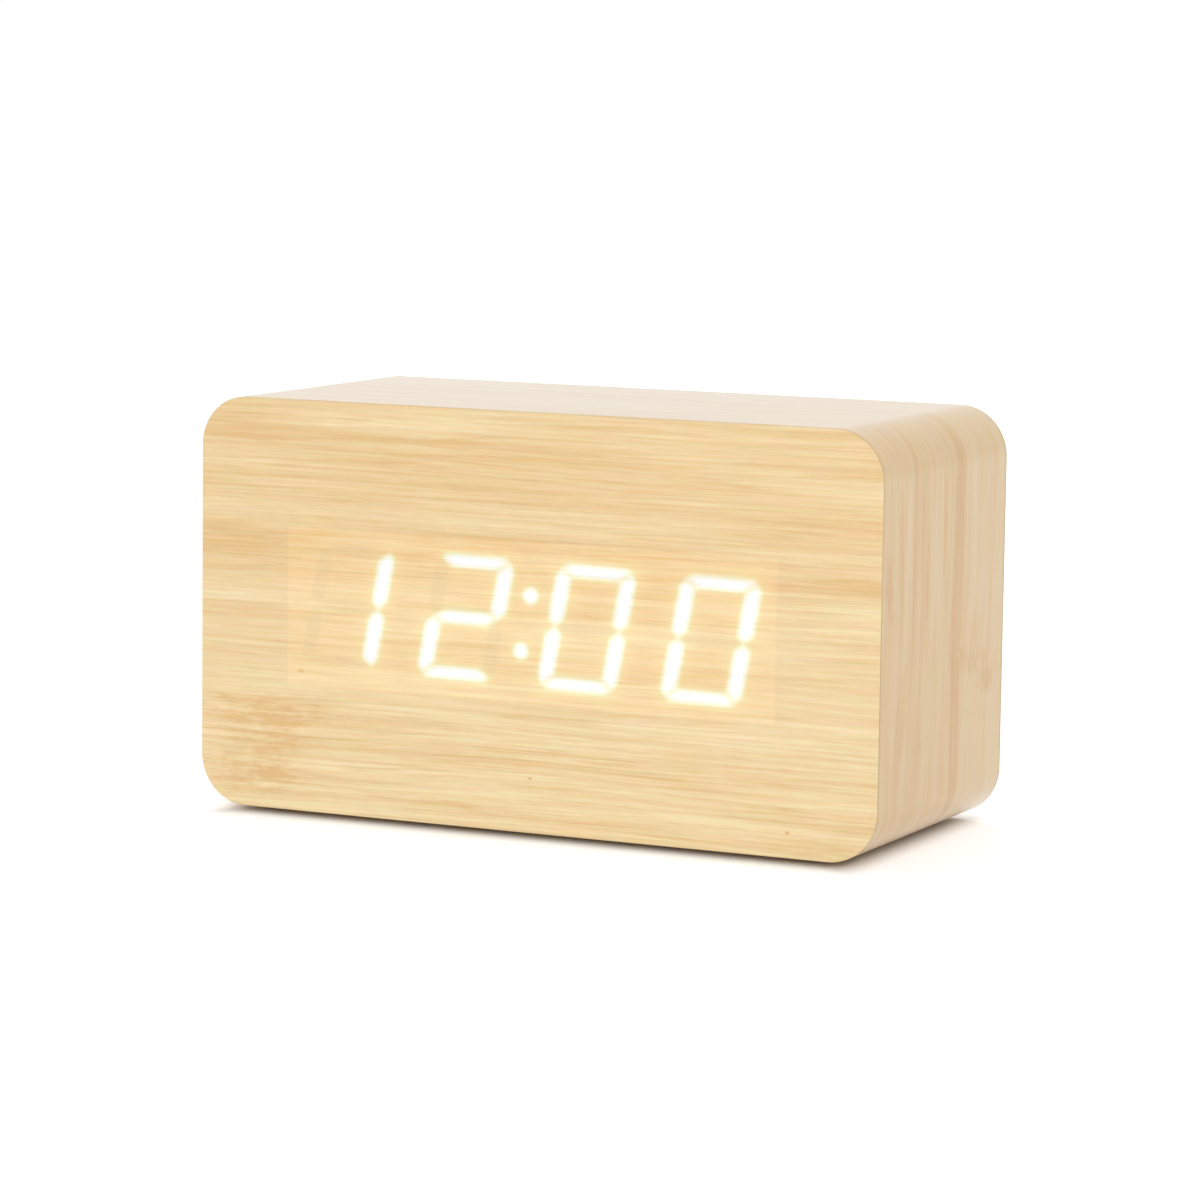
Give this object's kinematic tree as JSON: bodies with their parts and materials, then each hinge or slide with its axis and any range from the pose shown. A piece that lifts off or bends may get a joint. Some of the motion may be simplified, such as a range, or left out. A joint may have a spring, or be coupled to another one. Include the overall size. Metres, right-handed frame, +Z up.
{
  "type": "alarm clock",
  "caption": "Desk alarm clock with a block-shaped wood-veneered case, a digital display lit through its front veneer, and a moulded rear cover with buttons and a battery bay.",
  "frame": {"origin": "under the middle of the case, in the plane that the foot pads stand on", "axes": "+X to the right seen from the front, +Y into the depth towards the rear cover, +Z up"},
  "size_m": [0.125, 0.055, 0.071],
  "materials": {
    "case_veneer": "satin varnished bamboo-patterned veneer",
    "core_board": "cut fibreboard",
    "foot_rubber": "matte",
    "reflector_plastic": "moulded white, grey face",
    "film_plastic": "translucent matte film",
    "circuit_board": "green solder resist",
    "led_plastic": "clear encapsulation",
    "screw_steel": "zinc plated",
    "cover_plastic": "fine moulded texture",
    "button_plastic": "smooth moulded",
    "foam": "soft foam",
    "wire_black": "insulation",
    "wire_red": "insulation",
    "ribbon_plastic": "insulation",
    "part_plastic": "moulded component body",
    "plunger_plastic": "moulded",
    "can_metal": "drawn can",
    "nickel_steel": "nickel plated",
    "resistor_ceramic": "matte glaze",
    "cell_jacket": "plain printed jacket, no lettering"
  },
  "bodies": {
    "clock": {"wood_core": "core_board", "front_veneer": "case_veneer", "wrap_veneer": "case_veneer", "back_veneer": "case_veneer", "foot_pads": "foot_rubber", "display_reflector": "reflector_plastic", "diffuser_film": "film_plastic", "display_board": "circuit_board", "led_chips": "led_plastic", "display_screws": "screw_steel", "rear_cover": "cover_plastic", "cover_screws": "screw_steel", "lead_black": "wire_black", "lead_red": "wire_red", "ribbon_cable": "ribbon_plastic", "control_board": "circuit_board", "board_screws": "screw_steel", "switch_bodies": "part_plastic", "power_jack": "part_plastic", "jack_pin": "nickel_steel", "buzzer": "part_plastic", "microphone": "can_metal", "coin_cell": "nickel_steel", "coin_cell_clip": "nickel_steel", "controller_chip": "part_plastic", "clock_crystal": "can_metal", "capacitor": "can_metal", "chip_resistors": "resistor_ceramic", "cell_1": "cell_jacket", "cell_2": "cell_jacket", "cell_3": "cell_jacket", "contact_negative": "nickel_steel", "contact_bridge_left": "nickel_steel", "contact_bridge_right": "nickel_steel", "contact_positive": "nickel_steel"},
    "set_button": {"button_set": "button_plastic", "plunger_set": "plunger_plastic"},
    "up_button": {"button_up": "button_plastic", "plunger_up": "plunger_plastic"},
    "down_button": {"button_down": "button_plastic", "plunger_down": "plunger_plastic"},
    "battery_door": {"battery_door": "cover_plastic", "door_foam_pad": "foam"}
  },
  "joints": [
    {"name": "set_button_press", "type": "slide", "parent": "clock", "child": "set_button", "axis": [0, -1, 0], "range_m": [0, 0.0005], "stiffness_N_per_m": 400},
    {"name": "up_button_press", "type": "slide", "parent": "clock", "child": "up_button", "axis": [0, -1, 0], "range_m": [0, 0.0005], "stiffness_N_per_m": 400},
    {"name": "down_button_press", "type": "slide", "parent": "clock", "child": "down_button", "axis": [0, -1, 0], "range_m": [0, 0.0005], "stiffness_N_per_m": 400},
    {"name": "battery_door_hinge", "type": "hinge", "parent": "clock", "child": "battery_door", "pos_m": [-0.0264, 0.0257, 0.01805], "axis": [-1, 0, 0], "range_deg": [0, 75]}
  ]
}
